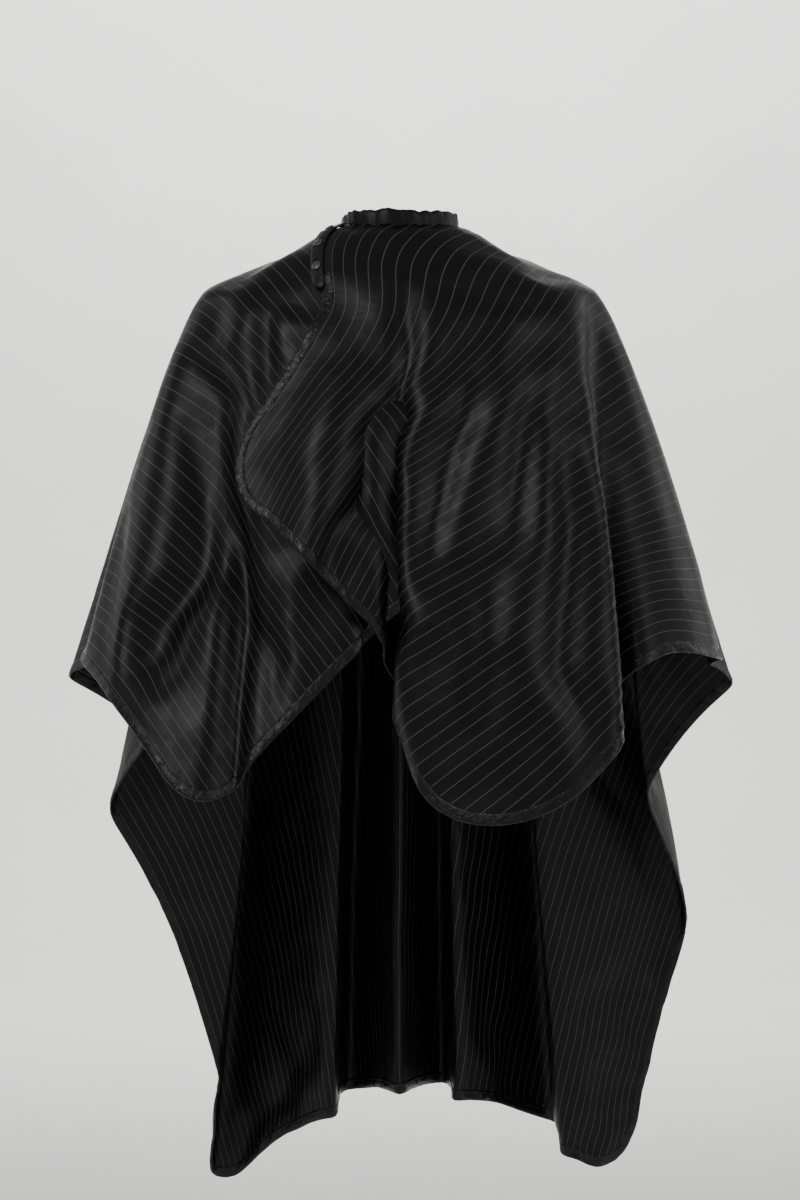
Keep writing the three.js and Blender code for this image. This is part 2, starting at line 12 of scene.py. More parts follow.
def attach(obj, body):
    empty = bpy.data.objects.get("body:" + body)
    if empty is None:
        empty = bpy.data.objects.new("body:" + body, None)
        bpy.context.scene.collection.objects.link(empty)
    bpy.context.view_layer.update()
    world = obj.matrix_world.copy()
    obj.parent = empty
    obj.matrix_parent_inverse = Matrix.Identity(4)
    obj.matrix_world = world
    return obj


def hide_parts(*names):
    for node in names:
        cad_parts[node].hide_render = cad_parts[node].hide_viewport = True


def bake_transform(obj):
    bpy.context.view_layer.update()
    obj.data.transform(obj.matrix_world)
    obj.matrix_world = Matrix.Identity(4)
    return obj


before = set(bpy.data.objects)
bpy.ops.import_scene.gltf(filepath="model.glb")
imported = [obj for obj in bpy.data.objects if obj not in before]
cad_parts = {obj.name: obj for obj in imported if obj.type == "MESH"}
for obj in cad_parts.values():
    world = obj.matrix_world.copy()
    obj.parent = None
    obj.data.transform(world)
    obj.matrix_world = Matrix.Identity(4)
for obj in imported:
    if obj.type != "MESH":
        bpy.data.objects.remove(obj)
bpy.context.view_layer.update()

rad = math.radians

# ---------- sizes, in metres ----------
HALF_WIDTH, BACK_LENGTH, FRONT_LENGTH = 0.66, 0.43, 1.045
NECK_CUT = 0.080
CORNER, SLIT_CORNER = 0.100, 0.080
SLIT_HALF = 0.0006
FLAT_SIZE = (2 * HALF_WIDTH, BACK_LENGTH + FRONT_LENGTH)
CLOTH = 0.0010          # thickness of the cloth
LAYER = 0.006           # the outer half lies this far off the inner half
NECK_RADIUS = 0.060
BINDING_HALF = 0.0013   # half the thickness of the folded binding
STRIPE_PITCH, STRIPE_WIDTH = 0.0127, 0.0008
STRAP_WIDTH, STRAP_START, STRAP_END, STRAP_HALF = 0.018, 0.005, 0.104, 0.0011
STRAP_MIDDLE = -0.006   # the strap's middle line lies this far beyond the slit edge
SNAP_DOWN = (0.022, 0.051, 0.080)
SPACING = 0.020         # of the cloth's points while it is draped
FRAMES = 26
GROWTH = 0.02           # the cloth is this much longer than the shape it starts from
BACK_PIECE = 85         # degrees round the pattern that belong to the two back pieces
FLOOR_Z = -1.50


def ease(t, a, b):
    t = np.clip((t - a) / (b - a), 0, 1)
    return t * t * (3 - 2 * t)


# ---------- the flat pattern ----------
def arc(cx, cy, r, start, end, step):
    n = max(3, round(r * abs(end - start) / step))
    t = np.linspace(start, end, n + 1)
    return np.stack([cx + r * np.cos(t), cy + r * np.sin(t)], 1)


def straight(a, b, step):
    n = max(1, round(math.dist(a, b) / step))
    t = np.linspace(0, 1, n + 1)[:, None]
    return np.array(a) * (1 - t) + np.array(b) * t


def half_outline(step):
    """The edge of the right half, from the neck down the slit, round the hem, to the middle of the front."""
    w, b, f = HALF_WIDTH, -BACK_LENGTH, FRONT_LENGTH
    c, s, q = CORNER, SLIT_CORNER, math.pi / 2
    runs = [
        straight((SLIT_HALF, -NECK_CUT), (SLIT_HALF, b + s), step),
        arc(SLIT_HALF + s, b + s, s, 2 * q, 3 * q, step),
        straight((SLIT_HALF + s, b), (w - c, b), step),
        arc(w - c, b + c, c, -q, 0, step),
        straight((w, b + c), (w, f - c), step),
        arc(w - c, f - c, c, 0, q, step),
        straight((w - c, f), (0, f), step),
    ]
    return np.concatenate([r[:-1] for r in runs] + [runs[-1][-1:]])


def whole_outline(step):
    right = half_outline(step)
    left = right[::-1] * [-1, 1]
    n = round(2 * math.pi * NECK_CUT / (0.6 * step))
    t = np.linspace(1.5 * math.pi, -0.5 * math.pi, n + 1)[1:-1]
    neck = NECK_CUT * np.stack([np.cos(t), np.sin(t)], 1)
    return np.concatenate([right, left[1:], neck])


def inside(points, edge):
    """Whether each point is within the outline, and its distance from it."""
    within = np.zeros(len(points), bool)
    dist = np.full(len(points), 9.0)
    for a, b in zip(edge, np.roll(edge, -1, axis=0)):
        cross = (a[1] > points[:, 1]) != (b[1] > points[:, 1])
        t = (points[:, 1] - a[1]) / (b[1] - a[1] + 1e-30)
        within ^= cross & (points[:, 0] < a[0] + t * (b[0] - a[0]))
        d = b - a
        k = np.clip(((points - a) @ d) / max(d @ d, 1e-18), 0, 1)
        dist = np.minimum(dist, np.linalg.norm(points - a - k[:, None] * d, axis=1))
    return within, dist


def flat_mesh():
    edge = whole_outline(SPACING)
    rows = np.arange(-BACK_LENGTH, FRONT_LENGTH, SPACING * math.sqrt(3) / 2)
    cols = np.arange(-HALF_WIDTH, HALF_WIDTH, SPACING)
    grid = np.array([(x + (k % 2) * SPACING / 2, y) for k, y in enumerate(rows) for x in cols])
    within, dist = inside(grid, edge)
    grid = grid[within & (dist > 0.6 * SPACING)]
    points = [Vector(p) for p in np.concatenate([edge, grid])]
    out = delaunay_2d_cdt(points, [], [list(range(len(edge)))], 1, 1e-6)
    return np.array([tuple(v) for v in out[0]]), np.array([tuple(f) for f in out[2]])


# ---------- how the cape hangs: a written shape that the simulation only settles ----------
def base(theta, down):
    """Distance out and height of the plain worn surface, at a bearing from the middle of the back."""
    facing = np.cos(theta)
    mid = facing**2
    side = 1 - mid
    neck_z = 0.006 * side - 0.032 * ((1 - facing) / 2) ** 2
    reach_mid = np.where(facing > 0, 0.132, 0.150)
    reach = ((np.abs(np.sin(theta)) / 0.203) ** 2.3 + (np.abs(facing) / reach_mid) ** 2.3) ** (-1 / 2.3)
    drop = 0.078 * side + np.where(facing > 0, 0.140, 0.150) * mid
    across = reach - NECK_RADIUS
    fall = neck_z + drop
    length = np.hypot(across, fall)
    part = np.clip(down / length, 0, 1)
    bulge = (0.004 * side + 0.014 * mid) * np.sin(np.pi * part)
    slope = np.arctan2(fall, across)
    out = NECK_RADIUS + length * part * np.cos(slope) + bulge * np.sin(slope)
    z = neck_z - length * part * np.sin(slope) + bulge * np.cos(slope)
    steep = np.radians(34 * side + 12 * mid)
    settled = np.radians(15 * side + np.where(facing > 0, 3, 2) * mid)
    stride = np.maximum(down - length, 0) / 12
    for i in range(12):
        lean = settled + (steep - settled) * np.exp(-stride * (i + 0.5) / 0.120)
        out = out + stride * np.sin(lean)
        z = z - stride * np.cos(lean)
    return out, z


def along(points, z):
    """x of a line of (x, z) points, given from the top down, at heights z."""
    p = np.array(points)
    return np.interp(-z, -p[:, 1], p[:, 0])


def window(z, w):
    """1 between the two middle heights of w, easing to 0 at the outer two."""
    return ease(-z, -w[0], -w[1]) * (1 - ease(-z, -w[2], -w[3]))


# The deep fold down the middle of the back, and the ridge by the wearer's right arm, as (x, z).
CENTRE = [(0.014, -0.03), (0.011, -0.142), (0.004, -0.234), (0.0, -0.300), (0.002, -0.45), (0.008, -0.60)]
RIDGE = [(0.190, -0.10), (0.200, -0.200), (0.208, -0.300), (0.221, -0.52)]
# Other folds: path, half width, depth (below 0 for a raised fold), and the heights it runs between.
OUTER_FOLDS = [
    ([(0.085, -0.110), (0.069, -0.152), (0.060, -0.225), (0.042, -0.29), (0.030, -0.36)], 0.016, 0.014,
        (-0.12, -0.25, -0.34, -0.42)),
    ([(0.108, -0.100), (0.134, -0.150), (0.132, -0.19), (0.120, -0.247), (0.114, -0.343)], 0.016, 0.012,
        (-0.12, -0.25, -0.30, -0.38)),
    ([(0.153, -0.100), (0.160, -0.150), (0.165, -0.26), (0.172, -0.327), (0.159, -0.469), (0.187, -0.53)],
        0.018, 0.014, (-0.15, -0.30, -0.48, -0.60)),
    ([(0.088, -0.42), (0.086, -0.50)], 0.014, 0.009, (-0.36, -0.42, -0.50, -0.56)),
    ([(0.002, -0.030), (-0.010, -0.081), (-0.027, -0.142), (-0.030, -0.30)], 0.018, 0.012,
        (-0.08, -0.26, -0.28, -0.42)),
    ([(-0.045, -0.110), (-0.080, -0.25), (-0.100, -0.38)], 0.030, -0.022, (-0.10, -0.24, -0.40, -0.60)),
]
INNER_FOLDS = [
    ([(-0.182, -0.115), (-0.200, -0.215), (-0.207, -0.293), (-0.221, -0.376), (-0.254, -0.429),
        (-0.267, -0.483)], 0.030, 0.030, (-0.11, -0.20, -0.45, -0.52)),
    ([(-0.178, -0.300), (-0.175, -0.429), (-0.182, -0.602)], 0.014, 0.022, (-0.28, -0.38, -0.60, -0.70)),
    ([(-0.137, -0.100), (-0.140, -0.163)], 0.012, 0.008, (-0.08, -0.11, -0.16, -0.22)),
]
FRONT_WAVES = 4         # hanging folds in each half of the front, enough to take up most of its cloth


def displaced(side, theta, down):
    """The worn surface of one half with its folds. side is 1 for the outer half and -1 for the inner."""
    out, z = base(theta, down)
    x, y = out * np.sin(theta), -out * np.cos(theta)
    facing = np.cos(theta)
    lift, shift = np.zeros_like(x), np.zeros_like(x)
    back = ease(facing, -0.05, 0.35)
    if side > 0:
        xc, xr = along(CENTRE, z), along(RIDGE, z)
        rise = 0.009 * ease(-z, 0.03, 0.12) + 0.015 * ease(-z, 0.10, 0.45)
        lift += rise * 0.5 * (np.tanh((x - xc) / 0.009) - np.tanh((x - xr) / 0.012)) * back
        roll = 0.010 * ease(-z, 0.12, 0.40) * back
        for edge, way in ((xc, 1), (xr, -1)):
            shift -= way * roll * np.exp(-(((x - edge - way * 0.010) / 0.012) ** 2))
            shift += way * roll * np.exp(-(((x - edge + way * 0.012) / 0.012) ** 2))
        deep = 0.008 * ease(-z, 0.03, 0.12) + 0.018 * ease(-z, 0.12, 0.34) + 0.028 * ease(-z, 0.28, 0.50)
        lift -= deep * np.exp(-(((x - xc + 0.004) / 0.012) ** 2)) * back
        pleat = 0.006 * ease(-z, 0.10, 0.20) + 0.024 * ease(-z, 0.2, 0.50)
        lift -= pleat * np.exp(-(((x - xr - 0.010) / 0.013) ** 2)) * back
    for path, width, depth, heights in OUTER_FOLDS if side > 0 else INNER_FOLDS:
        lift -= depth * window(z, heights) * np.exp(-(((x - along(path, z)) / width) ** 2)) * back
    front = ease(-facing, -0.05, 0.35) * ease(down, 0.03, 0.30)
    turn = (np.pi - np.abs(theta)) / (np.pi / 2) * 2 * np.pi
    wave = 0.1 - np.cos(turn * FRONT_WAVES + 0.6 * side * np.sin(turn * 0.5))
    lift += (0.020 + 0.030 * ease(down, 0.3, 0.8)) * front * wave
    back = 0.6 * back[..., None]
    normal = np.stack([np.sin(theta), -np.cos(theta)], -1) * (1 - back) + np.array([0, -1.0]) * back
    normal /= np.linalg.norm(normal, axis=-1, keepdims=True)
    return np.stack([x + normal[..., 0] * lift + shift, y + normal[..., 1] * lift, z], -1)


def edge_turn(side, s):
    """How far past the middle of the back the slit edge lies, at a distance down from the neck."""
    if side == 1:
        return rad(57 - 24 * ease(s, 0.0, 0.13) + 21 * ease(s, 0.06, 0.38))
    return rad(38 + 25 * ease(s, 0.05, 0.30))


# Bearings in the flat pattern and the worn bearings that they hang at near the hem.
KNOTS = {1: [(45.5, 0), (71, 55), (90, 87), (148, 133)], -1: [(36, 5), (57, 46), (90, 87), (148, 141)]}


def monotone(x, xk, yk):
    """A smooth rising curve through the knots."""
    xk, yk = np.array(xk), np.array(yk)
    h = np.diff(xk)
    d = np.diff(yk) / h
    m = np.zeros(len(xk))
    m[1:-1] = 2 * d[:-1] * d[1:] / (d[:-1] + d[1:])
    m[0] = np.clip(1.5 * d[0] - 0.5 * m[1], 0.2 * d[0], 3 * d[0])
    m[-1] = np.clip(1.5 * d[-1] - 0.5 * m[-2], 0.2 * d[-1], 3 * d[-1])
    i = np.clip(np.searchsorted(xk, x) - 1, 0, len(h) - 1)
    t = (x - xk[i]) / h[i]
    rise = yk[i + 1] - yk[i]
    return yk[i] + rise * (3 * t**2 - 2 * t**3) + m[i] * h[i] * (t**3 - 2 * t**2 + t) + m[i + 1] * h[i] * (t**3 - t**2)


def worn(flat):
    """Where each point of the flat pattern hangs before the cloth settles."""
    u, v = flat[:, 0], flat[:, 1]
    half = np.where(u >= 0, 1, -1)
    phi = np.abs(np.arctan2(u, -v))
    down = np.maximum(np.hypot(u, v) - NECK_CUT, 0)
    degrees = np.degrees(phi)
    arm = np.exp(-(((degrees - 74) / np.where(degrees < 74, 10, 8)) ** 2)) * (half > 0)
    down = down - 0.010 * ease(down, 0.45, 1.16) - 0.060 * arm * ease(down, 0.30, 0.62)
    place = np.zeros((len(flat), 3))
    rings = np.linspace(0, 1.17, 79)
    for side in (1, -1):
        table = np.zeros((len(rings), 361))
        grid = np.linspace(0, math.pi, 361)
        for k, s in enumerate(rings):
            theta = np.linspace(-float(edge_turn(side, s)), math.pi, 1200)
            p = displaced(side, side * theta, np.full_like(theta, s))
            length = np.concatenate([[0], np.cumsum(np.linalg.norm(np.diff(p, axis=0), axis=1))])
            full = float(ease(s, 0.12, 0.45))
            bearings = [0] + [rad(a) for a, _ in KNOTS[side]] + [math.pi]
            hung = [0] + [np.interp(rad(b), theta, length) for _, b in KNOTS[side]] + [length[-1]]
            evenly = [b / math.pi * length[-1] for b in bearings]
            at = [e * (1 - full) + h * full for e, h in zip(evenly, hung)]
            table[k] = np.interp(grid, monotone(length, at, bearings), theta)
        mine = half == side
        ph, dn = phi[mine], down[mine]
        pos = dn / rings[1]
        k = np.minimum(pos.astype(int), len(rings) - 2)
        f = pos - k
        g = ph / grid[1]
        j = np.minimum(g.astype(int), len(grid) - 2)
        h = g - j
        low = table[k, j] * (1 - h) + table[k, j + 1] * h
        high = table[k + 1, j] * (1 - h) + table[k + 1, j + 1] * h
        theta = side * (low * (1 - f) + high * f)
        gap = (LAYER if side == 1 else 0) * (1 - ease(np.degrees(ph), 72, 110))
        outward = np.stack([np.sin(theta), -np.cos(theta), np.zeros(len(theta))], 1)
        place[mine] = displaced(side, theta, dn) + outward * gap[:, None]
    return place


# ---------- the dress form the cloth settles on: height, half width, and its front and back ----------
FORM = [
    (0.10, 0.056, 0.058, -0.056), (0.02, 0.057, 0.058, -0.058), (-0.012, 0.062, 0.058, -0.064),
    (-0.03, 0.112, 0.062, -0.078), (-0.055, 0.160, 0.070, -0.092), (-0.085, 0.188, 0.085, -0.105),
    (-0.12, 0.196, 0.105, -0.116), (-0.17, 0.200, 0.125, -0.124), (-0.25, 0.195, 0.135, -0.124),
    (-0.35, 0.185, 0.132, -0.112), (-0.47, 0.180, 0.122, -0.100), (-0.58, 0.185, 0.118, -0.108),
    (-0.68, 0.190, 0.115, -0.120), (-0.78, 0.190, 0.110, -0.118), (-1.0, 0.185, 0.10, -0.105),
    (-1.15, 0.180, 0.095, -0.10),
]
ARM = [((0.170, 0.0, -0.110), 0.056), ((0.258, -0.020, -0.370), 0.045), ((0.222, 0.070, -0.640), 0.038)]


def tube(bm, rings):
    """A closed tube through rings of points, all with as many points."""
    made = [[bm.verts.new(p) for p in ring] for ring in rings]
    n = len(made[0])
    for a, b in zip(made, made[1:]):
        for k in range(n):
            bm.faces.new((a[k], a[(k + 1) % n], b[(k + 1) % n], b[k]))
    bm.faces.new(made[0][::-1])
    bm.faces.new(made[-1])


def form_object():
    bm = bmesh.new()
    heights = np.array([f[0] for f in FORM])
    zz = np.arange(heights[0], heights[-1], -0.015)
    wide, fore, aft = (np.interp(-zz, -heights, np.array([f[k] for f in FORM])) for k in (1, 2, 3))
    for c in (wide, fore, aft):
        for _ in range(3):
            c[1:-1] = (c[:-2] + 2 * c[1:-1] + c[2:]) / 4
    rings = []
    for i, z in enumerate(zz):
        cy, ry = (fore[i] + aft[i]) / 2, (fore[i] - aft[i]) / 2
        p = 2.0 if z > -0.015 else 2.4
        ring = []
        for t in np.linspace(0, 2 * math.pi, 96, endpoint=False):
            c, s = math.cos(t), math.sin(t)
            x = wide[i] * math.copysign(abs(s) ** (2 / p), s)
            ring.append((x, cy - ry * math.copysign(abs(c) ** (2 / p), c), z))
        rings.append(ring)
    tube(bm, rings)
    for way in (1, -1):
        for (p, rp), (q, rq) in zip(ARM, ARM[1:]):
            p, q = Vector((p[0] * way, p[1], p[2])), Vector((q[0] * way, q[1], q[2]))
            axis = (q - p).normalized()
            side = axis.cross(Vector((0, 1, 0))).normalized()
            up = axis.cross(side)
            rings = []
            for i in range(-4, 17):
                t = min(max(i / 12, 0), 1)
                r = rp + (rq - rp) * t
                over = i / 4 if i < 0 else max(i - 12, 0) / 4
                centre = p.lerp(q, t) + axis * r * math.sin(over * math.pi / 2)
                r = max(r * math.cos(over * math.pi / 2), 0.002)
                angles = np.linspace(0, 2 * math.pi, 24, endpoint=False)
                rings.append([centre + (side * math.cos(a) + up * math.sin(a)) * r for a in angles])
            tube(bm, rings)
    bmesh.ops.recalc_face_normals(bm, faces=bm.faces)
    mesh = bpy.data.meshes.new("form")
    bm.to_mesh(mesh)
    bm.free()
    obj = bpy.data.objects.new("form", mesh)
    bpy.context.scene.collection.objects.link(obj)
    return obj


def settle(flat, faces, start):
    """Settles the cloth on the form for a few frames, held softly to its starting shape, and returns its points."""
    mesh = bpy.data.meshes.new("settling")
    mesh.from_pydata([tuple(p) for p in start], [], [tuple(int(i) for i in f) for f in faces])
    obj = bpy.data.objects.new("settling", mesh)
    bpy.context.scene.collection.objects.link(obj)
    form = form_object()
    form.modifiers.new("Collision", "COLLISION")
    form.collision.thickness_outer = 0.003
    form.collision.cloth_friction = 5
    ring = np.hypot(flat[:, 0], flat[:, 1])
    _, rim = inside(flat, whole_outline(0.01))
    hold = 0.20 * (1 - ease(rim, 0.0, 0.05)) + 0.9 * (1 - ease(ring, NECK_CUT, NECK_CUT + 0.03)) + 0.12
    hold[ring < NECK_CUT + 0.002] = 1
    pin = obj.vertex_groups.new(name="pin")
    for i, w in enumerate(hold):
        pin.add([i], float(min(w, 1)), "REPLACE")
    cloth = obj.modifiers.new("Cloth", "CLOTH")
    s = cloth.settings
    s.quality = 8
    s.mass = 0.02
    s.air_damping = 2
    s.tension_stiffness = s.compression_stiffness = 25
    s.shear_stiffness = 8
    s.bending_stiffness = 0.15
    s.tension_damping = s.compression_damping = 15
    s.shear_damping = 10
    s.bending_damping = 0.5
    s.shrink_min = -GROWTH
    s.vertex_group_mass = "pin"
    s.pin_stiffness = 1.0
    c = cloth.collision_settings
    c.distance_min = 0.003
    c.collision_quality = 3
    c.use_self_collision = True
    c.self_distance_min = 0.0035
    c.friction = 5
    c.self_friction = 2
    cloth.point_cache.frame_start = 1
    cloth.point_cache.frame_end = FRAMES
    scene = bpy.context.scene
    scene.frame_start, scene.frame_end = 1, FRAMES
    for f in range(1, FRAMES + 1):
        scene.frame_set(f)
    shown = obj.evaluated_get(bpy.context.evaluated_depsgraph_get()).to_mesh()
    rest = np.zeros(len(flat) * 3, np.float32)
    shown.vertices.foreach_get("co", rest)
    obj.evaluated_get(bpy.context.evaluated_depsgraph_get()).to_mesh_clear()
    scene.frame_set(1)
    for o in (obj, form):
        data = o.data
        bpy.data.objects.remove(o)
        bpy.data.meshes.remove(data)
    return rest.reshape(-1, 3).astype(float)


# ---------- mesh helpers ----------
def finer(flat, faces, *values):
    """Each triangle into four. The values of the new points are the means of their two neighbours."""
    pairs = np.sort(np.concatenate([faces[:, [0, 1]], faces[:, [1, 2]], faces[:, [2, 0]]]), axis=1)
    edges, index = np.unique(pairs, axis=0, return_inverse=True)
    index = index.reshape(3, -1) + len(flat)
    a, b, c = faces.T
    ab, bc, ca = index
    out = np.concatenate([np.stack(t, 1) for t in ((a, ab, ca), (ab, b, bc), (ca, bc, c), (ab, bc, ca))])
    grown = [np.concatenate([x, (x[edges[:, 0]] + x[edges[:, 1]]) / 2]) for x in (flat, *values)]
    return out, grown


def smoothed(values, faces, times):
    """The values, evened out between neighbours."""
    pairs = np.unique(np.sort(np.concatenate([faces[:, [0, 1]], faces[:, [1, 2]], faces[:, [2, 0]]]), axis=1),
        axis=0)
    count = np.bincount(pairs.ravel(), minlength=len(values))[:, None]
    for _ in range(times):
        total = np.zeros_like(values)
        np.add.at(total, pairs[:, 0], values[pairs[:, 1]])
        np.add.at(total, pairs[:, 1], values[pairs[:, 0]])
        values = (values + total / count) / 2
    return values


def point_normals(points, faces):
    a, b, c = (points[faces[:, k]] for k in range(3))
    n = np.cross(b - a, c - a)
    out = np.zeros_like(points)
    for k in range(3):
        np.add.at(out, faces[:, k], n)
    return out / np.maximum(np.linalg.norm(out, axis=1, keepdims=True), 1e-12)


def new_object(name, points, faces, material, normals=None, uv=None, uv_name="OFBake"):
    """A smooth-shaded object. uv is given for each point."""
    mesh = bpy.data.meshes.new(name)
    mesh.from_pydata([tuple(p) for p in points], [], [tuple(int(i) for i in f) for f in faces])
    mesh.materials.append(material)
    mesh.shade_smooth()
    if uv is not None:
        corner = np.zeros(len(mesh.loops), np.int32)
        mesh.loops.foreach_get("vertex_index", corner)
        layer = mesh.uv_layers.new(name=uv_name)
        layer.data.foreach_set("uv", np.asarray(uv, np.float32)[corner].ravel())
    if normals is not None:
        mesh.normals_split_custom_set_from_vertices([tuple(n) for n in normals])
    obj = bpy.data.objects.new(name, mesh)
    bpy.context.scene.collection.objects.link(obj)
    return obj


def sweep(name, rings, material, uv=None):
    """A tube through rings of points. uv is one pair for each point of each ring."""
    rings = np.asarray(rings)
    count, n = rings.shape[:2]
    faces = []
    for i in range(count - 1):
        a, b = i * n, (i + 1) * n
        faces += [(a + k, a + (k + 1) % n, b + (k + 1) % n, b + k) for k in range(n)]
    faces += [tuple(range(n))[::-1], tuple(range((count - 1) * n, count * n))]
    flat_uv = None if uv is None else np.asarray(uv).reshape(-1, 2)
    obj = new_object(name, rings.reshape(-1, 3), faces, material, uv=flat_uv, uv_name="strip")
    bm = bmesh.new()
    bm.from_mesh(obj.data)
    bmesh.ops.recalc_face_normals(bm, faces=bm.faces)
    bm.to_mesh(obj.data)
    bm.free()
    return obj


def wobble(x, seed, waves):
    """A fixed uneven ripple, between -1 and 1, made of sines of the given wavelengths."""
    total = np.zeros_like(np.asarray(x, float))
    for k, w in enumerate(waves):
        total = total + np.sin(2 * np.pi * x / w + seed * (1.7 + k) + 2.1 * k)
    return total / len(waves)


# ---------- materials ----------
def linear(hex_colour):
    """sRGB hex to a linear colour."""
    values = [int(hex_colour[i : i + 2], 16) / 255 for i in (0, 2, 4)]
    return tuple(c / 12.92 if c <= 0.04045 else ((c + 0.055) / 1.055) ** 2.4 for c in values) + (1.0,)


def node(tree, kind, inputs=None, **settings):
    """Adds a node with its settings. Each input takes a value, or the output it is joined to."""
    made = tree.nodes.new(kind)
    for key, value in settings.items():
        setattr(made, key, value)
    for key, value in (inputs or {}).items():
        if isinstance(value, bpy.types.NodeSocket):
            tree.links.new(value, made.inputs[key])
        else:
            made.inputs[key].default_value = value
    return made


def new_material(name):
    """An empty material, its tree and its shader."""
    made = bpy.data.materials.new(name)
    made.use_nodes = True
    return made, made.node_tree, made.node_tree.nodes["Principled BSDF"]


def satin(name, body_colour, uv_map, uv_scale, striped):
    """Black polyester satin: a soft wide sheen that breaks up over small puckers, a fine twill,
    and on the cape's own cloth a thin pale pinstripe every half inch."""
    made, tree, shader = new_material(name)
    uv = node(tree, "ShaderNodeUVMap", uv_map=uv_map)
    place = node(tree, "ShaderNodeVectorMath", {0: uv.outputs[0], 1: (uv_scale, uv_scale, uv_scale)},
        operation="MULTIPLY").outputs[0]
    patch = node(tree, "ShaderNodeTexNoise", {"Vector": place, "Scale": 9.0, "Detail": 3.0}).outputs["Fac"]
    crease = node(tree, "ShaderNodeTexNoise",
        {"Vector": place, "Scale": 32.0, "Detail": 3.0, "Roughness": 0.45, "Distortion": 0.5}).outputs["Fac"]
    twill = node(tree, "ShaderNodeTexWave", {"Vector": place, "Scale": 420.0, "Distortion": 0.3},
        bands_direction="DIAGONAL").outputs["Fac"]
    dark = linear(body_colour)
    light = tuple(c * 1.5 for c in dark[:3]) + (1.0,)
    colour = node(tree, "ShaderNodeMix", {0: patch, 6: dark, 7: light}, data_type="RGBA").outputs[2]
    if striped:
        split = node(tree, "ShaderNodeSeparateXYZ", {0: place})
        across = node(tree, "ShaderNodeMath", {0: split.outputs[0], 1: STRIPE_PITCH / 2},
            operation="PINGPONG").outputs[0]
        stripe = node(tree, "ShaderNodeMapRange",
            {0: across, 1: STRIPE_WIDTH * 0.35, 2: STRIPE_WIDTH * 0.65, 3: 1.0, 4: 0.0}).outputs[0]
        thread = node(tree, "ShaderNodeTexNoise",
            {"Vector": place, "Scale": 900.0, "Detail": 1.0}).outputs["Fac"]
        uneven = node(tree, "ShaderNodeMapRange", {0: thread, 1: 0.3, 2: 0.7, 3: 0.75, 4: 1.0}).outputs[0]
        mask = node(tree, "ShaderNodeMath", {0: stripe, 1: uneven}, operation="MULTIPLY").outputs[0]
        colour = node(tree, "ShaderNodeMix", {0: mask, 6: colour, 7: linear("64625f")},
            data_type="RGBA").outputs[2]
    tree.links.new(colour, shader.inputs["Base Color"])
    rough = node(tree, "ShaderNodeMapRange", {0: crease, 1: 0.3, 2: 0.7, 3: 0.36, 4: 0.48}).outputs[0]
    tree.links.new(rough, shader.inputs["Roughness"])
    shader.inputs["Specular IOR Level"].default_value = 0.36
    soft = node(tree, "ShaderNodeBump", {"Height": crease, "Strength": 0.30, "Distance": 0.0035})
    fine = node(tree, "ShaderNodeBump", {"Height": twill, "Strength": 0.10, "Distance": 0.0002,
        "Normal": soft.outputs[0]})
    tree.links.new(fine.outputs[0], shader.inputs["Normal"])
    return made


def binding_tape(name):
    """Folded satin tape with a stitched inner edge: darker than the cloth, puckered, glossy along its rim."""
    made, tree, shader = new_material(name)
    uv = node(tree, "ShaderNodeUVMap", uv_map="strip")
    split = node(tree, "ShaderNodeSeparateXYZ", {0: uv.outputs[0]})
    pucker = node(tree, "ShaderNodeTexNoise",
        {"Vector": uv.outputs[0], "Scale": 150.0, "Detail": 3.0, "Distortion": 0.8}).outputs["Fac"]
    dash = node(tree, "ShaderNodeMath", {0: split.outputs[0], 1: 0.0014}, operation="PINGPONG").outputs[0]
    dash = node(tree, "ShaderNodeMapRange", {0: dash, 1: 0.0002, 2: 0.0005, 3: 0.0, 4: 1.0}).outputs[0]
    off = node(tree, "ShaderNodeMath", {0: split.outputs[1], 1: 0.0095}, operation="SUBTRACT").outputs[0]
    off = node(tree, "ShaderNodeMath", {0: off}, operation="ABSOLUTE").outputs[0]
    row = node(tree, "ShaderNodeMapRange", {0: off, 1: 0.0002, 2: 0.0005, 3: 1.0, 4: 0.0}).outputs[0]
    stitch = node(tree, "ShaderNodeMath", {0: dash, 1: row}, operation="MULTIPLY").outputs[0]
    patch = node(tree, "ShaderNodeMix", {0: pucker, 6: linear("0c0b0b"), 7: linear("171615")},
        data_type="RGBA").outputs[2]
    colour = node(tree, "ShaderNodeMix", {0: stitch, 6: patch, 7: linear("242322")},
        data_type="RGBA").outputs[2]
    tree.links.new(colour, shader.inputs["Base Color"])
    rough = node(tree, "ShaderNodeMapRange", {0: pucker, 1: 0.3, 2: 0.7, 3: 0.25, 4: 0.42}).outputs[0]
    tree.links.new(rough, shader.inputs["Roughness"])
    rise = node(tree, "ShaderNodeBump", {"Height": stitch, "Strength": 0.6, "Distance": 0.0005})
    soft = node(tree, "ShaderNodeBump", {"Height": pucker, "Strength": 0.55, "Distance": 0.0020,
        "Normal": rise.outputs[0]})
    tree.links.new(soft.outputs[0], shader.inputs["Normal"])
    return made


